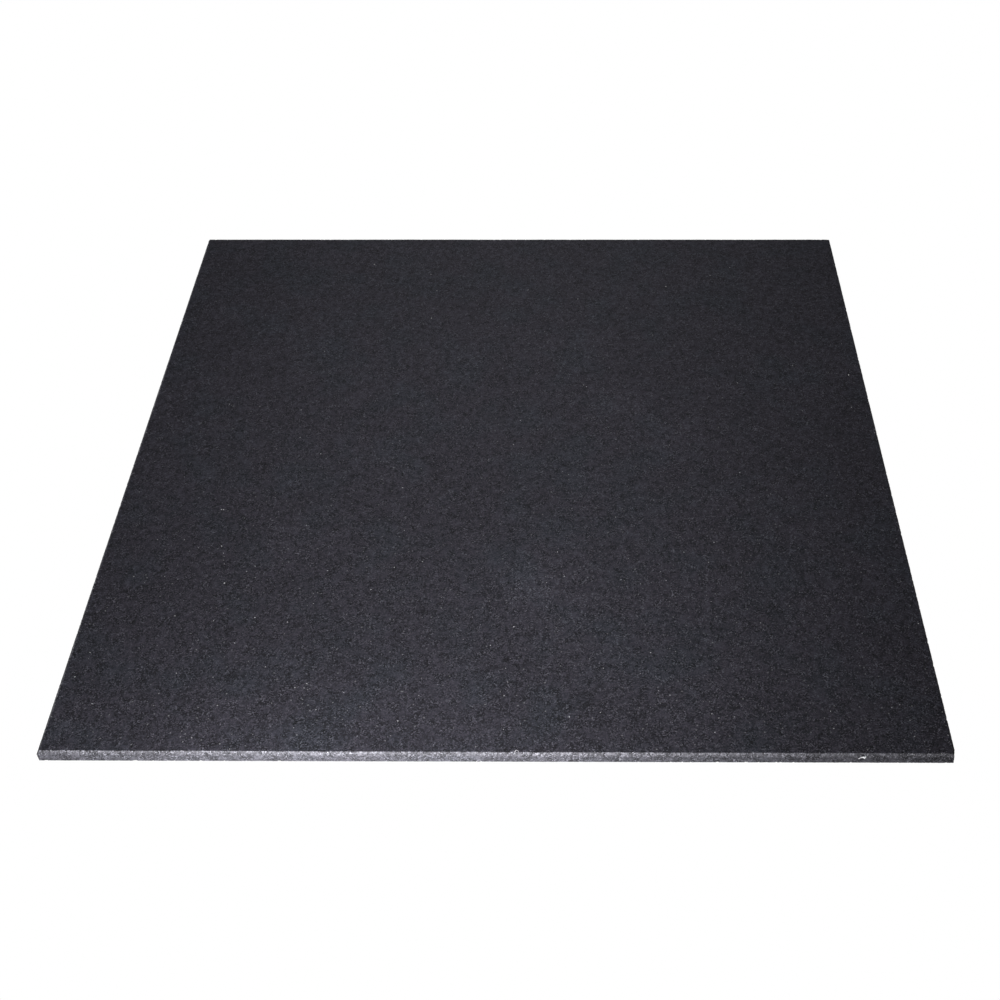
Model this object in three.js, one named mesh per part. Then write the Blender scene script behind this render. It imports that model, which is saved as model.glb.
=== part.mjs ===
// Rubber gym floor tile: one slab of compressed, bonded rubber crumb, with a bevel round its upper edge.
// Millimetres, +Z up. The origin is the middle of the underside, which lies flat on the floor.
import * as THREE from "three";
import { ConvexGeometry } from "three/addons/geometries/ConvexGeometry.js";

// Driving dimensions
const tileWidth = 1000; // along X, side to side
const tileLength = 1000; // along Y, front to back
const tileThickness = 15;
const bevelRun = 3; // how far the bevel reaches in over the top face
const bevelDrop = 3; // how far the bevel reaches down each side

// Material, as seen in the photograph: matt charcoal rubber
const crumbRubber = new THREE.MeshStandardMaterial({
  name: "crumb_rubber",
  color: new THREE.Color().setRGB(0.2, 0.2, 0.22, THREE.SRGBColorSpace),
  roughness: 0.85,
  metalness: 0,
});

// The slab's outline at its three levels, from the floor up. The sides are upright to the shoulder,
// where the bevel starts, and the bevel ends at the rim of the top face.
const levels = [
  { height: 0, inset: 0 },
  { height: tileThickness - bevelDrop, inset: 0 },
  { height: tileThickness, inset: bevelRun },
];

// The four corners of a rectangle that is inset from the tile's outline, at one height.
function cornersAt({ height, inset }) {
  const halfWidth = tileWidth / 2 - inset;
  const halfLength = tileLength / 2 - inset;
  return [
    new THREE.Vector3(-halfWidth, -halfLength, height),
    new THREE.Vector3(halfWidth, -halfLength, height),
    new THREE.Vector3(halfWidth, halfLength, height),
    new THREE.Vector3(-halfWidth, halfLength, height),
  ];
}

// The slab is convex, so its twelve corners give its whole surface, with the bevels mitred where they meet.
function makeSlab() {
  const slab = new THREE.Mesh(new ConvexGeometry(levels.flatMap(cornersAt)), crumbRubber);
  slab.name = "rubber_slab";
  return slab;
}

const gymTile = new THREE.Group();
gymTile.name = "gym_floor_tile";
gymTile.add(makeSlab());

export default gymTile;
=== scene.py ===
import math
import random

import bmesh
import bpy
from mathutils import Euler, Matrix, Vector, noise


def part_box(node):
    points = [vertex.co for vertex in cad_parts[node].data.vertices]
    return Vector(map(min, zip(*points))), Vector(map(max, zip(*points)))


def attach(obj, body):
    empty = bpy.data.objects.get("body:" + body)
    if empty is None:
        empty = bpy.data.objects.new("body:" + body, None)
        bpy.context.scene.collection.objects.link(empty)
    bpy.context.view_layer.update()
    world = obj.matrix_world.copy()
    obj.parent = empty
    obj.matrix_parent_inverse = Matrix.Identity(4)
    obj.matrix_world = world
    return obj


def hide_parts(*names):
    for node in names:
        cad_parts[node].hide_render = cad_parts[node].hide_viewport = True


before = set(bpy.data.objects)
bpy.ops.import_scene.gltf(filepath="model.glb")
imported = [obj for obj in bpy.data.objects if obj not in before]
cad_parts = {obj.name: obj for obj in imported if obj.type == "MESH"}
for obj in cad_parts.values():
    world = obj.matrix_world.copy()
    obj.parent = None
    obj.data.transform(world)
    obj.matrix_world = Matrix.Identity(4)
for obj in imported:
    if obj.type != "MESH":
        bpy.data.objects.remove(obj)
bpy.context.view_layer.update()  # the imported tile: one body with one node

mm = 0.001
hair = 0.01 * mm  # two places nearer than this are the same
tileLow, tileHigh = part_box("rubber_slab")
topZ = tileHigh.z
halfSide = (tileHigh.x - tileLow.x) / 2
scene = bpy.context.scene
scene.view_settings.view_transform = "Standard"

# Camera

photoView = {
    "pictureSide": 1000,  # pixels, the photograph is square
    "sensorWidth": 36,  # millimetres
    "focalLength": 1365.8,  # pixels
    "opticalCentreX": 552,  # pixels from the left, the picture was cropped off centre
    "place": (0.0751, -1.3703, 1.2445),  # metres
    "pitchDown": 44.15,  # degrees
    "yaw": 0.74,
    "roll": 0.41,
    "nearest": 0.01,  # nothing closer than this is drawn
}


def addCamera(view):
    data = bpy.data.cameras.new("photo_camera")
    camera = bpy.data.objects.new("photo_camera", data)
    scene.collection.objects.link(camera)
    data.sensor_width = view["sensorWidth"]
    data.lens = data.sensor_width * view["focalLength"] / view["pictureSide"]
    data.shift_x = 0.5 - view["opticalCentreX"] / view["pictureSide"]
    data.clip_start = view["nearest"]
    turn = Matrix.Rotation(math.radians(view["yaw"]), 4, "Z")
    tip = Matrix.Rotation(math.radians(90 - view["pitchDown"]), 4, "X")
    lean = Matrix.Rotation(math.radians(-view["roll"]), 4, "Z")
    camera.matrix_world = Matrix.Translation(view["place"]) @ turn @ tip @ lean
    scene.camera = camera


addCamera(photoView)
print("camera set")

# Studio: white floor, soft lights

studio = {
    "floorSide": 30,
    "floorDrop": 0.1 * mm,  # the floor lies just under the tile
    "paperWhite": 1.0,  # how bright the paper and the backdrop look, the tile throws no shadow on them
    "paperColour": (0.8, 0.8, 0.8, 1),  # what they send back to the tile
    "ambient": 0.02,
}
softLights = {  # each one aims at a spot on the floor
    "front_strip": {"place": (-0.15, -0.90, 0.18), "aim": (-0.15, -0.50), "size": (0.5, 0.15), "watts": 6.5},
    "front_small": {"place": (-0.20, -0.92, 0.30), "aim": (-0.20, -0.50), "size": (0.3, 0.2), "watts": 0.7},
    "overhead_box": {"place": (-0.08, -0.05, 0.9), "aim": (-0.08, -0.05), "size": (0.5, 0.5), "watts": 4.6},
    "back_box": {"place": (0, 2.2, 1.3), "aim": (0, 0), "size": (1.2, 0.9), "watts": 12.4},
    "back_strip": {"place": (-0.10, 0.95, 0.5), "aim": (-0.10, 0.45), "size": (0.8, 0.2), "watts": 0.5},
    "left_low": {"place": (-2.6, 0, 0.08), "aim": (0, 0), "size": (1.6, 0.14), "watts": 5, "fill": True},
    "right_low": {"place": (2.6, 0, 0.08), "aim": (0, 0), "size": (1.6, 0.14), "watts": 10, "fill": True},
}


# white to the camera, so no shadow shows on it; every other ray meets plain paper
def whiteForCamera(tree, plain, output, white):
    onMaterial = output.type == "OUTPUT_MATERIAL"
    glow = tree.nodes.new("ShaderNodeEmission" if onMaterial else "ShaderNodeBackground")
    glow.inputs["Strength"].default_value = white
    glow.inputs["Color"].default_value = (1, 1, 1, 1)
    rays = tree.nodes.new("ShaderNodeLightPath")
    mix = tree.nodes.new("ShaderNodeMixShader")
    tree.links.new(rays.outputs["Is Camera Ray"], mix.inputs["Fac"])
    tree.links.new(plain.outputs[0], mix.inputs[1])
    tree.links.new(glow.outputs[0], mix.inputs[2])
    tree.links.new(mix.outputs["Shader"], output.inputs["Surface"])


def addFloor(settings):
    bpy.ops.mesh.primitive_plane_add(size=settings["floorSide"], location=(0, 0, -settings["floorDrop"]))
    floor = bpy.context.object
    floor.name = "studio_floor"
    paper = bpy.data.materials.new("white_paper")
    paper.use_nodes = True
    tree = paper.node_tree
    tree.nodes.remove(tree.nodes["Principled BSDF"])
    matt = tree.nodes.new("ShaderNodeBsdfDiffuse")
    matt.inputs["Color"].default_value = settings["paperColour"]
    whiteForCamera(tree, matt, tree.nodes["Material Output"], settings["paperWhite"])
    floor.data.materials.append(paper)


def addBackdrop(settings):
    world = bpy.data.worlds.new("white_studio")
    scene.world = world
    world.use_nodes = True
    tree = world.node_tree
    lighting = tree.nodes["Background"]
    lighting.inputs["Strength"].default_value = settings["ambient"]
    lighting.inputs["Color"].default_value = (1, 1, 1, 1)
    whiteForCamera(tree, lighting, tree.nodes["World Output"], settings["paperWhite"])


def addSoftLight(name, settings):
    data = bpy.data.lights.new(name, "AREA")
    data.shape = "RECTANGLE"
    data.size, data.size_y = settings["size"]
    data.energy = settings["watts"]
    light = bpy.data.objects.new(name, data)
    scene.collection.objects.link(light)
    place = Vector(settings["place"])
    towards = Vector((*settings["aim"], 0)) - place
    light.location = place
    light.rotation_euler = towards.to_track_quat("-Z", "Y").to_euler()
    light.visible_camera = False
    light.visible_glossy = not settings.get("fill", False)  # a fill light leaves no glare


addFloor(studio)
addBackdrop(studio)
for lightName, lightSettings in softLights.items():
    addSoftLight(lightName, lightSettings)
print("studio ready:", len(softLights), "lights")

# Materials

noiseLow, noiseHigh = 0.3, 0.7  # nearly all of a noise texture lies between these


def newMaterial(name):
    material = bpy.data.materials.new(name)
    material.use_nodes = True
    return material, material.node_tree, material.node_tree.nodes["Principled BSDF"]


# one maths node; its inputs are sockets or plain numbers
def maths(tree, operation, *values):
    node = tree.nodes.new("ShaderNodeMath")
    node.operation = operation
    for socket, value in zip(node.inputs, values):
        feed(tree, socket, value)
    return node.outputs["Value"]


def feed(tree, socket, value):
    if isinstance(value, bpy.types.NodeSocket):
        tree.links.new(value, socket)
    else:
        socket.default_value = value


# carries a value from one range to another
def remap(tree, value, fromLow, fromHigh, toLow, toHigh, smooth=False):
    node = tree.nodes.new("ShaderNodeMapRange")
    node.interpolation_type = "SMOOTHSTEP" if smooth else "LINEAR"
    for name, given in {"Value": value, "From Min": fromLow, "From Max": fromHigh,
                        "To Min": toLow, "To Max": toHigh}.items():
        feed(tree, node.inputs[name], given)
    return node.outputs["Result"]


def mixColours(tree, share, first, second):
    node = tree.nodes.new("ShaderNodeMix")
    node.data_type = "RGBA"
    feed(tree, node.inputs["Factor"], share)
    feed(tree, node.inputs["A"], first)
    feed(tree, node.inputs["B"], second)
    return node.outputs["Result"]


def noiseTexture(tree, where, grain, detail=2):
    node = tree.nodes.new("ShaderNodeTexNoise")
    tree.links.new(where, node.inputs["Vector"])
    node.inputs["Scale"].default_value = 1 / grain
    node.inputs["Detail"].default_value = detail
    return node.outputs["Fac"]


def granuleTexture(tree, where, grain, feature="F1"):
    node = tree.nodes.new("ShaderNodeTexVoronoi")
    node.feature = feature
    tree.links.new(where, node.inputs["Vector"])
    node.inputs["Scale"].default_value = 1 / grain
    return node


rubber = {
    "warmTop": (0.0374, 0.0352, 0.0480, 1),  # charcoal, a little warmer in some places
    "coldTop": (0.0344, 0.0362, 0.0488, 1),  # and colder in others
    "tint": 60 * mm,  # how far apart those places are
    "tintRange": (0.46, 0.66),  # of the noise, where the one turns into the other
    "paleTop": (0.0370, 0.0364, 0.0410, 1),  # the palest granules are greyer
    "greyRange": (1, 2.5),  # the tones over which they turn grey
    "greyShare": 0.6,
    "edgeColour": (0.190, 0.188, 0.212, 1),  # greyer where the crumb is open; it also carries the painted highlight at the crest and the painted light at the foot
    "speckColour": (0.16, 0.16, 0.17, 1),
    "granule": 1.3 * mm,
    "dust": 0.7 * mm,  # the finest crumb between the granules
    "darkestTone": 0.44,  # of the granules, as a share of the colour
    "palestTone": 2.1,
    "paleRarity": 2.4,  # higher leaves fewer pale granules
    "dustSpread": 0.35,
    "speckShare": 0.0017,  # pale granules among the black ones
    "backSpecks": 0.3,  # how pale they still are at the back of the tile
    "pitShare": 0.05,  # small holes between them, darkened with painted shade
    "pitShade": 0.35,
    # painted shade towards the edges of each granule, in the crevices
    "creviceShade": 0.3,
    "creviceWidth": 0.12,  # as a share of a granule
    "patch": 9 * mm,  # some places are smooth, others gritty
    "smoothPatch": 0.35,
    "grittyPatch": 1.42,
    "frontGrit": 1.10,  # the crumb is pressed smoother towards the back of the tile
    "backGrit": 0.70,
    "edgeGrit": 0.75,  # and where the crumb is open at the edge
    "blotch": 6 * mm,  # where paler or darker granules lie together
    "blotchSpread": 0.33,
    "lump": 2.7 * mm,  # larger pieces that show on the open edge
    "lumpDark": 0.84,
    "lumpPale": 1.32,
    "lumpRarity": 2,
    "mottle": 70 * mm,
    "mottleSpread": 0.06,
    "clouds": (  # soft paler and darker places on the top: where, how far they reach, how strong
        ((0.055, -0.262), 0.065, 0.28),
        ((0.148, 0.082), 0.045, 0.19),
        ((0.216, 0.024), 0.045, 0.16),
        ((-0.256, -0.189), 0.050, 0.14),
        ((0.068, 0.210), 0.050, 0.12),
        ((-0.390, 0.427), 0.060, -0.06),
        ((0.180, -0.320), 0.150, 0.13),
        ((0.450, 0.010), 0.110, -0.09),
        ((0.500, -0.130), 0.100, -0.07),
        ((0.010, -0.290), 0.150, 0.07),
        ((-0.400, -0.110), 0.180, -0.05),
        ((-0.400, -0.450), 0.060, -0.08),
    ),
    "cloudCore": 0.4,  # a cloud is even out to this share of its reach
    "cloudRim": 1.4,  # and has faded away here
    "cloudStray": 50 * mm,  # how far its outline strays
    "cloudRag": 40 * mm,  # length of the waves in its outline
    "roughest": 0.95,
    "smoothest": 0.72,
    "gloss": 0.25,
    "domeWidth": 0.8,  # of a granule, as a share of its size
    "unevenness": 0.6,  # how much higher one granule lies than another, as a share of its dome
    "dustHeight": 0.35,
    "reliefDepth": 0.22 * mm,
    "reliefStrength": 0.55,
}


def makeRubber(settings):
    material, tree, shader = newMaterial("pressed_crumb_rubber")
    where = tree.nodes.new("ShaderNodeTexCoord").outputs["Object"]
    granules = granuleTexture(tree, where, settings["granule"])
    edges = granuleTexture(tree, where, settings["granule"], "DISTANCE_TO_EDGE")
    dust = granuleTexture(tree, where, settings["dust"])
    chance = tree.nodes.new("ShaderNodeSeparateColor")
    tree.links.new(granules.outputs["Color"], chance.inputs["Color"])
    dustChance = tree.nodes.new("ShaderNodeSeparateColor")
    tree.links.new(dust.outputs["Color"], dustChance.inputs["Color"])
    openCrumbAndPaintedLight = tree.nodes.new("ShaderNodeAttribute")
    openCrumbAndPaintedLight.attribute_name = "openCrumbAndPaintedLight"

    # tone of each granule, painted shade in its crevices and pits, with slow clouds over the whole tile
    rare = maths(tree, "POWER", chance.outputs["Red"], settings["paleRarity"])
    tone = remap(tree, rare, 0, 1, settings["darkestTone"], settings["palestTone"])
    spread = settings["dustSpread"]
    tone = maths(tree, "MULTIPLY", tone, remap(tree, dustChance.outputs["Red"], 0, 1, 1 - spread, 1 + spread))
    # painted shade: darker towards the crevices between the granules and in the pits
    crevice = remap(tree, edges.outputs["Distance"], 0, settings["creviceWidth"], settings["creviceShade"], 1)
    tone = maths(tree, "MULTIPLY", tone, crevice)
    pit = maths(tree, "LESS_THAN", chance.outputs["Green"], settings["pitShare"])
    tone = maths(tree, "MULTIPLY", tone, remap(tree, pit, 0, 1, 1, settings["pitShade"]))
    patch = noiseTexture(tree, where, settings["patch"], detail=1)
    patch = remap(tree, patch, noiseLow, noiseHigh, settings["smoothPatch"], settings["grittyPatch"])
    axes = tree.nodes.new("ShaderNodeSeparateXYZ")
    tree.links.new(where, axes.inputs["Vector"])
    grit = remap(tree, axes.outputs["Y"], -halfSide, halfSide, settings["frontGrit"], settings["backGrit"])
    grit = maths(tree, "MULTIPLY", grit, remap(tree, openCrumbAndPaintedLight.outputs["Fac"], 0, 1, 1, settings["edgeGrit"]))
    tone = maths(tree, "POWER", tone, maths(tree, "MULTIPLY", patch, grit))
    for name in ("blotch", "mottle"):
        slow = noiseTexture(tree, where, settings[name])
        spread = settings[name + "Spread"]
        slow = remap(tree, slow, noiseLow, noiseHigh, 1 - spread, 1 + spread)
        tone = maths(tree, "MULTIPLY", tone, slow)
    stray = settings["cloudStray"]
    ragged = maths(tree, "MULTIPLY", noiseTexture(tree, where, settings["cloudRag"], detail=3), stray)
    for (x, y), reach, strength in settings["clouds"]:
        away = tree.nodes.new("ShaderNodeVectorMath")
        away.operation = "DISTANCE"
        tree.links.new(where, away.inputs[0])
        away.inputs[1].default_value = (x, y, topZ)
        far = maths(tree, "ADD", away.outputs["Value"], ragged)
        core, rim = settings["cloudCore"] * reach, settings["cloudRim"] * reach + stray / 2
        cloud = remap(tree, far, core, rim, 1 + strength, 1, smooth=True)
        tone = maths(tree, "MULTIPLY", tone, cloud)

    # the open edge shows larger pieces
    lumps = tree.nodes.new("ShaderNodeSeparateColor")
    tree.links.new(granuleTexture(tree, where, settings["lump"]).outputs["Color"], lumps.inputs["Color"])
    paleLump = maths(tree, "POWER", lumps.outputs["Red"], settings["lumpRarity"])
    lumpTone = remap(tree, paleLump, 0, 1, settings["lumpDark"], settings["lumpPale"])
    lumpTone = remap(tree, openCrumbAndPaintedLight.outputs["Fac"], 0, 1, 1, lumpTone)
    tone = maths(tree, "MULTIPLY", tone, lumpTone)

    # charcoal on the top, greyer where the crumb is open, with a painted highlight along the crest, painted
    # shade on the right bevel and in the hollows, painted light at the foot, and a few granules quite pale
    tint = noiseTexture(tree, where, settings["tint"], detail=3)
    tint = remap(tree, tint, *settings["tintRange"], 0, 1)
    topColour = mixColours(tree, tint, settings["warmTop"], settings["coldTop"])
    greying = remap(tree, tone, *settings["greyRange"], 0, settings["greyShare"])
    topColour = mixColours(tree, greying, topColour, settings["paleTop"])
    colour = mixColours(tree, openCrumbAndPaintedLight.outputs["Fac"], topColour, settings["edgeColour"])
    toned = tree.nodes.new("ShaderNodeVectorMath")
    toned.operation = "SCALE"
    tree.links.new(colour, toned.inputs[0])
    tree.links.new(tone, toned.inputs["Scale"])
    pale = maths(tree, "GREATER_THAN", chance.outputs["Green"], 1 - settings["speckShare"])
    fading = remap(tree, axes.outputs["Y"], -halfSide, halfSide, 1, settings["backSpecks"])
    pale = maths(tree, "MULTIPLY", pale, fading)
    colour = mixColours(tree, pale, toned.outputs["Vector"], settings["speckColour"])
    tree.links.new(colour, shader.inputs["Base Color"])

    rough = remap(tree, chance.outputs["Blue"], 0, 1, settings["smoothest"], settings["roughest"])
    tree.links.new(rough, shader.inputs["Roughness"])
    shader.inputs["Specular IOR Level"].default_value = settings["gloss"]

    # every granule is a low dome at its own height
    dome = remap(tree, granules.outputs["Distance"], 0, settings["domeWidth"], 1, 0)
    level = maths(tree, "MULTIPLY", chance.outputs["Blue"], settings["unevenness"])
    dustLevel = maths(tree, "MULTIPLY", dustChance.outputs["Green"], settings["dustHeight"])
    height = maths(tree, "ADD", maths(tree, "ADD", dome, level), dustLevel)
    bump = tree.nodes.new("ShaderNodeBump")
    bump.inputs["Strength"].default_value = settings["reliefStrength"]
    bump.inputs["Distance"].default_value = settings["reliefDepth"]
    tree.links.new(height, bump.inputs["Height"])
    tree.links.new(bump.outputs["Normal"], shader.inputs["Normal"])
    return material


paleCrumb = {
    "darkColour": (0.10, 0.10, 0.11, 1),
    "lightColour": (0.55, 0.55, 0.57, 1),
    "patch": 9 * mm,
    "roughness": 0.8,
}
whiteCrumb = {
    "darkColour": (0.68, 0.68, 0.71, 1),
    "lightColour": (0.90, 0.90, 0.94, 1),
    "patch": 0.8 * mm,
    "roughness": 0.6,
}
shavingRubber = {
    "darkColour": (0.18, 0.18, 0.20, 1),
    "lightColour": (0.34, 0.34, 0.36, 1),
    "patch": 1.5 * mm,
    "roughness": 0.8,
}
crumbGrit = {  # fine grit on all of them
    "grain": 0.3 * mm,
    "depth": 0.1 * mm,
    "strength": 0.4,
}


def makeCrumbMaterial(name, settings, gritty):
    material, tree, shader = newMaterial(name)
    where = tree.nodes.new("ShaderNodeTexCoord").outputs["Object"]
    patches = granuleTexture(tree, where, settings["patch"])
    chance = tree.nodes.new("ShaderNodeSeparateColor")
    tree.links.new(patches.outputs["Color"], chance.inputs["Color"])
    colour = mixColours(tree, chance.outputs["Red"], settings["darkColour"], settings["lightColour"])
    tree.links.new(colour, shader.inputs["Base Color"])
    shader.inputs["Roughness"].default_value = settings["roughness"]
    grit = noiseTexture(tree, where, gritty["grain"])
    bump = tree.nodes.new("ShaderNodeBump")
    bump.inputs["Strength"].default_value = gritty["strength"]
    bump.inputs["Distance"].default_value = gritty["depth"]
    tree.links.new(grit, bump.inputs["Height"])
    tree.links.new(bump.outputs["Normal"], shader.inputs["Normal"])
    return material


rubberMaterial = makeRubber(rubber)
paleMaterial = makeCrumbMaterial("pale_crumb", paleCrumb, crumbGrit)
whiteMaterial = makeCrumbMaterial("white_crumb", whiteCrumb, crumbGrit)
shavingMaterial = makeCrumbMaterial("grey_shaving", shavingRubber, crumbGrit)
print("materials ready")

# Slab: one closed skin, fine round the rim and coarser towards the middle

slab = {
    "bevelRun": 3 * mm,  # how far the bevel reaches in over the top face
    "bevelDrop": 3 * mm,  # and down each side
    "rimCells": 1024,  # cells along a side at the rim
    "sideHeights": (0, 0.4, 1.1, 2.2, 3.6, 5, 6.4, 7.8, 9.2, 10.6, 12),  # mm
    "bevelRows": 4,
    "topRimRows": 2,
    "topRimCell": 1 * mm,
    "topRings": ((7, 512), (9, 512), (12.5, 256), (17, 256), (24, 128)),  # inset in mm, cells along a side
    "undersideRings": ((3.5, 512), (8, 256), (15, 128), (26, 64), (45, 32)),  # the same underneath
    "crumb": 2.3 * mm,  # size of the pieces that stand out in the open edge
    "rimRelief": 0.33 * mm,  # and how far they do
    "domeShare": 0.55,  # of the relief, the rest is one granule lying deeper than the next
    "domeSteepness": 1.3,  # higher makes smaller domes
    "reliefFade": 9 * mm,  # how far the relief runs in over the top
    "topRelief": 0.5,  # it is pressed flatter there
    "tornShare": 0.07,  # granules missing from the rim
    "tornDepth": 0.7 * mm,
    "levelSeed": (9.7, 0),  # other pairs give other draws
    "tornSeed": (5.3, 40),
    "holes": (  # hollows dented over and under the white chip, darkened with painted shade: where, radius
        ((0.3992, -0.4987, 0.0133), 1.8 * mm),
        ((0.3990, -0.5000, 0.0084), 2.0 * mm),
    ),
    "holeDepth": 1.8 * mm,
    "crestOut": 0.49 * mm,  # the bevel's upper line sits this much nearer the side than on the plain tile
    "wander": 0.45 * mm,  # and strays in and out
    "wanderLength": 55 * mm,
    "wanderMix": (0.7, 0.4),  # of slow waves and quick ones
    "quickWander": 5,  # quick waves to one slow one
    "wanderSeed": 17.3,
    "footWear": 0.4 * mm,  # the lower edge is rounded off this much
    "frontFootWear": (0.4 * mm, 2.5 * mm),  # at the left end and the right end of the front
    "footReach": 6 * mm,  # how far the wear of one side runs on round a corner
    "knockedReach": 10 * mm,  # the front right corner has been knocked
    "knockedDepth": 2.3 * mm,  # at the bevel
    "knockedFoot": 1.0 * mm,  # and on the floor
    "crestOpennessAndHighlight": 1.0,  # how much of the edge colour shows at the crest, the shoulder and the side; at the crest it is open crumb with a painted highlight that fades down the bevel
    "shoulderOpenness": 0.60,
    "shoulderFade": 1.2 * mm,  # how far it runs on down the side
    "sideOpenness": 0.35,
    "footPaintedLight": 0.50,  # painted light: the lowest crumb is paler, against the shade near the floor
    "footFade": 2.2 * mm,
    "rightBevelPaintedShade": 0.12,  # painted shade: the right bevel faces away from the lights and shows less of it
    "wave": 0.22 * mm,  # the moulded face isn't dead flat
    "waveLength": 130 * mm,
    "waveMix": (0.5, 0.2),  # of slow waves and quick ones
    "quickWave": 3.1,
}


def addRing(mesh, reach, height, cells):
    corners = ((-reach, -reach), (reach, -reach), (reach, reach), (-reach, reach))
    ring = []
    for corner in range(4):
        startX, startY = corners[corner]
        endX, endY = corners[(corner + 1) % 4]
        for step in range(cells):
            share = step / cells
            place = (startX + (endX - startX) * share, startY + (endY - startY) * share, height)
            ring.append(mesh.verts.new(place))
    return ring


# joins two rings: as many cells, or one with twice the other's
def joinRings(mesh, first, second):
    if len(first) == len(second):
        for i in range(len(first)):
            after = (i + 1) % len(first)
            mesh.faces.new((first[i], second[i], second[after], first[after]))
        return
    coarse, fine = sorted((first, second), key=len)
    for i in range(len(coarse)):
        here, after = coarse[i], coarse[(i + 1) % len(coarse)]
        one, two, three = fine[2 * i], fine[2 * i + 1], fine[(2 * i + 2) % len(fine)]
        mesh.faces.new((here, one, two))
        mesh.faces.new((here, two, after))
        mesh.faces.new((after, two, three))


# a square of cells; returns its outer ring in the same order as addRing
def addMiddle(mesh, reach, height, cells):
    step = 2 * reach / cells
    rows = []
    for row in range(cells + 1):
        rows.append([mesh.verts.new((-reach + column * step, -reach + row * step, height))
                     for column in range(cells + 1)])
    for low, high in zip(rows, rows[1:]):
        for column in range(cells):
            mesh.faces.new((low[column], low[column + 1], high[column + 1], high[column]))
    return (rows[0][:-1] + [row[-1] for row in rows[:-1]]
            + rows[-1][:0:-1] + [row[0] for row in rows[:0:-1]])


# inset and height of every rim ring, from the foot up over the bevel
def rimProfile(shape):
    shoulder = topZ - shape["bevelDrop"]
    rings = [(0, height * mm) for height in shape["sideHeights"]]
    for row in range(1, shape["bevelRows"] + 1):
        share = row / shape["bevelRows"]
        rings.append((shape["bevelRun"] * share, shoulder + shape["bevelDrop"] * share))
    for row in range(1, shape["topRimRows"] + 1):
        rings.append((shape["bevelRun"] + shape["topRimCell"] * row, topZ))
    return rings


# 1 in the middle of a hollow, 0 outside them all
def hollowAt(place, shape):
    nearness = [1 - ((place - Vector(middle)).length / radius) ** 2 for middle, radius in shape["holes"]]
    return max(0, *nearness)


# a steady draw between 0 and 1 for each granule
def granuleDraw(centre, seed):
    scale, shift = seed
    return 0.5 + 0.5 * noise.cell(centre * scale + Vector((shift, 0, 0)))


# how deep the crumb sits under the nominal face at a place: 0 on the proudest granules
def crumbDepth(place, shape):
    distances, centres = noise.voronoi(place / shape["crumb"])
    dome = min(1, distances[0] * shape["domeSteepness"]) ** 2
    level = granuleDraw(centres[0], shape["levelSeed"])
    depth = shape["rimRelief"] * (shape["domeShare"] * dome + (1 - shape["domeShare"]) * level)
    if granuleDraw(centres[0], shape["tornSeed"]) > 1 - shape["tornShare"]:
        depth += shape["tornDepth"]
    return depth + shape["holeDepth"] * hollowAt(place, shape)


# how far the bevel's upper line moves in, less than nothing is out; side tells the four sides apart
def strayLine(shape, along, side):
    waves, seed = along / shape["wanderLength"], side * shape["wanderSeed"]
    slow = noise.noise(Vector((waves, seed, 0)))
    quick = noise.noise(Vector((waves * shape["quickWander"], seed, 9)))
    slowShare, quickShare = shape["wanderMix"]
    return shape["wander"] * (slowShare * slow + quickShare * quick) - shape["crestOut"]


# how far the top dips at a place
def waveAt(place, shape):
    slow = noise.noise(Vector((place.x, place.y, 0)) / shape["waveLength"])
    quick = noise.noise(Vector((place.x, place.y, 1)) / shape["waveLength"] * shape["quickWave"])
    slowShare, quickShare = shape["waveMix"]
    return shape["wave"] * (0.5 + slowShare * slow + quickShare * quick)


# how much of the edge colour shows: most at the crest, where a painted highlight lies, less down the bevel
# and the side, painted light at the foot, painted shade on the right bevel, none on the top
def opennessAndPaintedLightAt(place, inset, shape):
    shoulder = topZ - shape["bevelDrop"]
    if inset > shape["bevelRun"] + hair:
        return 0
    paintedBevelShade = shape["rightBevelPaintedShade"] if place.x > abs(place.y) else 1
    low, high = shape["shoulderOpenness"] * paintedBevelShade, shape["crestOpennessAndHighlight"] * paintedBevelShade
    if place.z > shoulder:
        return low + (high - low) * (place.z - shoulder) / shape["bevelDrop"]
    nearShoulder = max(0, 1 - (shoulder - place.z) / shape["shoulderFade"])
    nearFoot = max(0, 1 - place.z / shape["footFade"])
    side = shape["sideOpenness"]
    return side + (low - side) * nearShoulder + (shape["footPaintedLight"] - side) * nearFoot


# the worn lower edge stands back in a quarter round
def footMove(place, shape):
    wears = [shape["footWear"], shape["footWear"]]
    if place.y < 0:
        left, right = shape["frontFootWear"]
        wears[1] = left + (right - left) * (place.x + halfSide) / (2 * halfSide)
    move = Vector()
    for axis, wear in enumerate(wears):
        if place.z < wear:
            inset = wear - math.sqrt(wear ** 2 - (wear - place.z) ** 2)
            near = max(0, 1 - (halfSide - abs(place[axis])) / shape["footReach"])
            move[axis] = -math.copysign(near * inset, place[axis])
    return move


# how far the knocked corner stands back from the right side
def knockedInset(place, shape):
    nearCorner = 1 - (place.y + halfSide) / shape["knockedReach"]
    nearSide = 1 - (halfSide - place.x) / shape["knockedReach"]
    if min(nearCorner, nearSide) <= 0:
        return 0
    up = min(1, place.z / (topZ - shape["bevelDrop"]))
    foot, full = shape["knockedFoot"], shape["knockedDepth"]
    return nearCorner * nearSide * (foot + (full - foot) * up)


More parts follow.
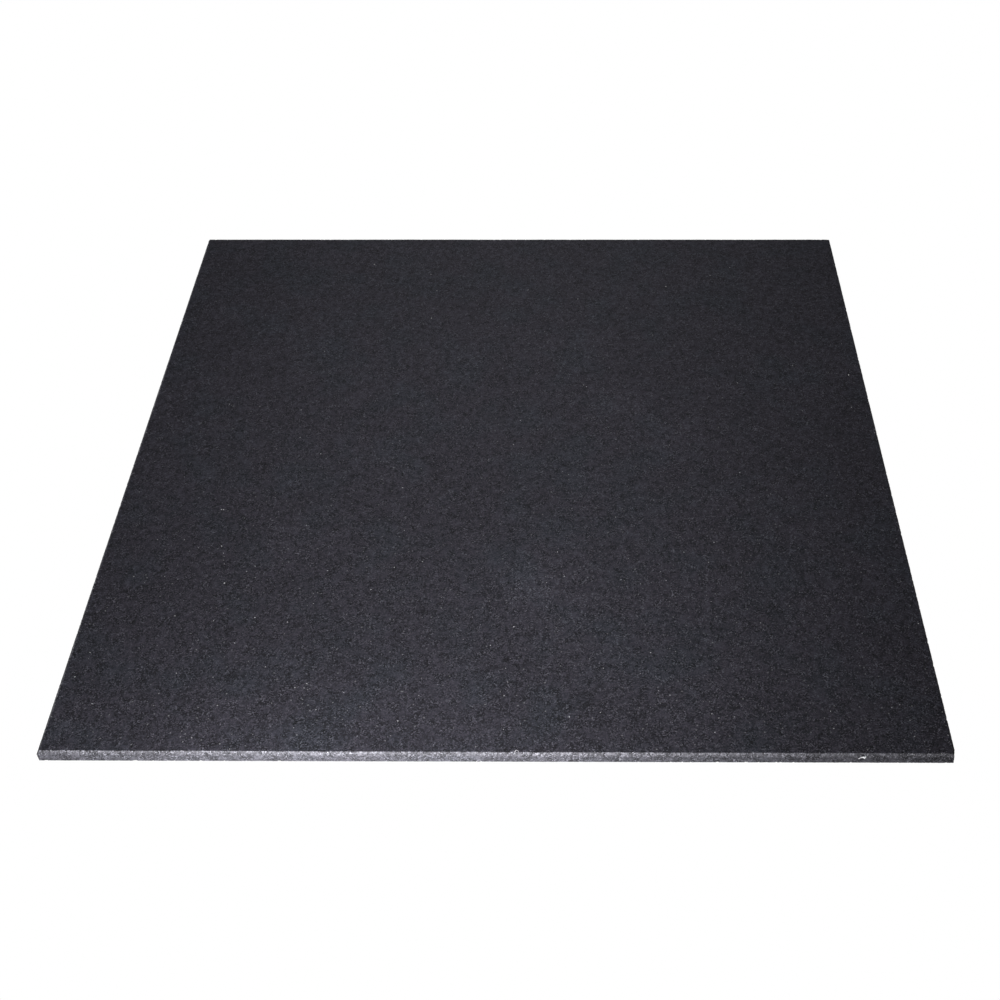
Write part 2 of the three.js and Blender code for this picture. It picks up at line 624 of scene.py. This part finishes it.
def shapeSurface(mesh, shape):
    mesh.normal_update()
    openCrumbAndPaintedLight = mesh.verts.layers.float.new("openCrumbAndPaintedLight")
    shoulder = topZ - shape["bevelDrop"]
    moves = []
    for vert in mesh.verts:
        place = vert.co
        inset = halfSide - max(abs(place.x), abs(place.y))
        if place.z <= 0 and inset > hair:
            continue  # the underside stays flat
        outward = vert.normal.copy()
        if place.z <= 0:
            outward.z = 0
            outward.normalize()
        onTop = place.z > topZ - hair
        fade = max(0, 1 - max(0, inset - shape["bevelRun"]) / shape["reliefFade"]) if onTop else 1
        depth = crumbDepth(place, shape) * fade
        if onTop:
            depth = depth * shape["topRelief"] + waveAt(place, shape) * (1 - fade)
        # painted shade: the hollows lose the edge colour
        vert[openCrumbAndPaintedLight] = opennessAndPaintedLightAt(place, inset, shape) * (1 - hollowAt(place, shape))
        move = -outward * depth
        move += footMove(place, shape)
        move.x -= knockedInset(place, shape)
        lift = min(1, max(0, (place.z - shoulder) / shape["bevelDrop"])) * fade
        if abs(place.y) >= halfSide - inset - hair:
            side = math.copysign(1, place.y)
            move.y -= side * lift * strayLine(shape, place.x, side)
        if abs(place.x) >= halfSide - inset - hair:
            side = math.copysign(1, place.x)
            move.x -= side * lift * strayLine(shape, place.y, side * 2)
        moves.append((vert, move))
    for vert, move in moves:
        vert.co += move


def addPiece(name, mesh, material, smooth):
    data = bpy.data.meshes.new(name)
    mesh.to_mesh(data)
    mesh.free()
    piece = bpy.data.objects.new(name, data)
    scene.collection.objects.link(piece)
    data.materials.append(material)
    data.polygons.foreach_set("use_smooth", [smooth] * len(data.polygons))
    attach(piece, "root")
    return piece


def makeSlab(shape, material):
    mesh = bmesh.new()
    inset, cells = shape["undersideRings"][-1]
    rings = [addMiddle(mesh, halfSide - inset * mm, 0, cells)]
    for inset, cells in shape["undersideRings"][-2::-1]:
        rings.append(addRing(mesh, halfSide - inset * mm, 0, cells))
    for inset, height in rimProfile(shape):
        rings.append(addRing(mesh, halfSide - inset, height, shape["rimCells"]))
    for inset, cells in shape["topRings"][:-1]:
        rings.append(addRing(mesh, halfSide - inset * mm, topZ, cells))
    inset, cells = shape["topRings"][-1]
    rings.append(addMiddle(mesh, halfSide - inset * mm, topZ, cells))
    for first, second in zip(rings, rings[1:]):
        joinRings(mesh, first, second)
    bmesh.ops.recalc_face_normals(mesh, faces=mesh.faces)
    shapeSurface(mesh, shape)
    return addPiece("rubber_tile", mesh, material, True)


tile = makeSlab(slab, rubberMaterial)
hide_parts("rubber_slab")
print("slab made:", len(tile.data.vertices), "points,", len(tile.data.polygons), "faces")

# Pale crumbs, a white chip and a shaving, bedded in the top and in the open edge

crumbs = {
    "seed": 7,
    "onTop": 280,  # more of them towards the front
    "smallest": 0.35 * mm,
    "largest": 0.85 * mm,
    "sunk": 0.1,  # how deep a crumb's middle lies, as a share of its radius
    "flat": 0.7,  # height as a share of width
    "squeeze": (0.7, 1.1),  # one width as a share of the other
    "jag": 0.18,  # how far its points stray, as a share of its radius
    "margin": 6 * mm,  # none nearer the sides, apart from those along the edges
    "alongEdges": 110,
    "edgeScatter": (-0.8 * mm, 1.6 * mm),  # from the bevel's upper line
    "edgeLargest": 0.75,  # they are smaller
    "leftAndRight": 0.7,  # and most lie along the left and right edges
    "told": (  # the ones that can be told apart: place on the face they sit in, radius
        ((0.3195, 0.1350, 0.0150), 0.0007),
        ((0.4100, -0.3853, 0.0150), 0.0007),
        ((0.1619, -0.3878, 0.0150), 0.0007),
        ((0.4510, 0.1580, 0.0150), 0.0005),
        ((0.4560, 0.1568, 0.0150), 0.0004),
        ((0.4624, 0.1560, 0.0150), 0.0004),
        ((0.4544, -0.4980, 0.0140), 0.0008),
        ((0.4837, -0.4972, 0.0148), 0.0008),
    ),
    "toldFlat": 0.9,
}
whiteGranule = {
    "seed": 3,
    "place": (0.4792, 0.1532, 0.0150),  # on the top near the right side
    "radius": 1.1 * mm,
    "flat": 0.8,
}
# a flake where the front bevel meets the side, turned a little to the left
chip = {
    "middle": (0.3987, -0.5002, 0.0112),
    "sections": (  # from left to right: across, low edge, high edge, how proud it stands, all in mm
        (-4.3, -1.5, -0.9, 0.1),
        (-2.2, -0.3, 0.5, 0.2),
        (-0.1, -0.1, 1.2, 0.4),
        (1.7, -1.1, 1.0, 1.3),
        (3.6, 0.5, 2.0, 0.9),
    ),
    "bedded": 1.6 * mm,  # how far its back lies in the tile
}
# stands on the front bevel
shaving = {
    "foot": (0.0235, -0.4984, 0.0134),  # midway between its two ends
    "width": 4.8 * mm,
    "rise": 3.3 * mm,
    "reachBack": 2.6 * mm,
    "thickness": 1.5 * mm,
    "endShare": 0.5,  # of it that the two ends have
    "swell": 0.3,  # more of it in the middle
    "taper": 0.35,  # more at the left end, less at the right
    "lean": (0, 0.7, -0.7),  # the way its width lies
    "steps": 14,
}


def addCrumb(mesh, chance, place, radius, flat):
    turn = Euler([chance.uniform(0, 2 * math.pi) for axis in range(3)]).to_matrix().to_4x4()
    squeeze = Matrix.Diagonal((1, chance.uniform(*crumbs["squeeze"]), flat, 1))
    spin = Matrix.Rotation(chance.uniform(0, 2 * math.pi), 4, "Z")
    made = bmesh.ops.create_icosphere(mesh, subdivisions=1, radius=radius,
                                      matrix=Matrix.Translation(place) @ spin @ squeeze @ turn)
    jag = crumbs["jag"]
    for vert in made["verts"]:
        vert.co += Vector([chance.uniform(-jag, jag) * radius for axis in range(3)])


# puts a crumb's middle a little under the face it is bedded in
def beddedPlace(place, radius):
    place = Vector(place)
    if place.z > topZ - hair:
        place.z -= waveAt(place, slab)
    place.z -= radius * crumbs["sunk"]
    return place


def makeCrumbs(settings, material):
    chance = random.Random(settings["seed"])
    mesh = bmesh.new()
    reach = halfSide - settings["margin"]
    for crumb in range(settings["onTop"]):
        place = (chance.uniform(-reach, reach), chance.triangular(-reach, reach, -reach), topZ)
        radius = chance.uniform(settings["smallest"], settings["largest"])
        addCrumb(mesh, chance, beddedPlace(place, radius), radius, settings["flat"])
    for crumb in range(settings["alongEdges"]):
        along = chance.uniform(-reach, reach)
        inset = slab["bevelRun"] + chance.uniform(*settings["edgeScatter"])
        height = topZ - max(0, slab["bevelRun"] - inset)
        across = (halfSide - inset) * chance.choice((-1, 1))
        leftOrRight = chance.random() < settings["leftAndRight"]
        place = (across, along, height) if leftOrRight else (along, across, height)
        radius = chance.uniform(settings["smallest"], settings["edgeLargest"] * settings["largest"])
        addCrumb(mesh, chance, beddedPlace(place, radius), radius, settings["flat"])
    for place, radius in settings["told"]:
        addCrumb(mesh, chance, beddedPlace(place, radius), radius, settings["toldFlat"])
    return addPiece("pale_crumbs", mesh, material, False)


def makeWhiteGranule(settings, material):
    mesh = bmesh.new()
    place = beddedPlace(settings["place"], settings["radius"])
    addCrumb(mesh, random.Random(settings["seed"]), place, settings["radius"], settings["flat"])
    return addPiece("white_granule", mesh, material, False)


# joins four-cornered rings into one closed bar
def addBar(name, mesh, rings, material, smooth):
    for first, second in zip(rings, rings[1:]):
        joinRings(mesh, first, second)
    mesh.faces.new(rings[0])
    mesh.faces.new(rings[-1])
    bmesh.ops.recalc_face_normals(mesh, faces=mesh.faces)
    return addPiece(name, mesh, material, smooth)


# a flake with its back bedded in the tile
def makeChip(settings, material):
    mesh = bmesh.new()
    middle = Vector(settings["middle"])
    up = Vector((0, 1, 1)).normalized()
    out = Vector((0, -1, 1)).normalized()
    rings = []
    for across, low, high, proud in settings["sections"]:
        place = middle + Vector((across * mm, 0, 0))
        front, back = out * proud * mm, -out * settings["bedded"]
        rings.append([mesh.verts.new(place + up * low * mm + front),
                      mesh.verts.new(place + up * high * mm + front),
                      mesh.verts.new(place + up * high * mm + back),
                      mesh.verts.new(place + up * low * mm + back)])
    return addBar("white_chip", mesh, rings, material, False)


# a thin curl of rubber left where the edge was cut, standing on its two ends
def makeShaving(settings, material):
    mesh = bmesh.new()
    foot = Vector(settings["foot"])
    halfWidth, rise = settings["width"] / 2, settings["rise"]
    across = Vector(settings["lean"])
    rings = []
    for step in range(settings["steps"] + 1):
        angle = math.pi * step / settings["steps"]
        middle = foot + Vector((-math.cos(angle) * halfWidth,
                                math.sin(angle) * settings["reachBack"],
                                math.sin(angle) * rise))
        out = Vector((-math.cos(angle) * rise, 0, math.sin(angle) * halfWidth)).normalized()
        share = (settings["endShare"] + settings["swell"] * math.sin(angle)
                 + settings["taper"] * math.cos(angle))
        half = settings["thickness"] / 2 * share
        rings.append([mesh.verts.new(middle + out * half), mesh.verts.new(middle + across * half),
                      mesh.verts.new(middle - out * half), mesh.verts.new(middle - across * half)])
    return addBar("shaving", mesh, rings, material, True)


smallPieces = [
    makeCrumbs(crumbs, paleMaterial),
    makeWhiteGranule(whiteGranule, whiteMaterial),
    makeChip(chip, whiteMaterial),
    makeShaving(shaving, shavingMaterial),
]
print("small pieces made:", sum(len(piece.data.polygons) for piece in smallPieces), "faces")
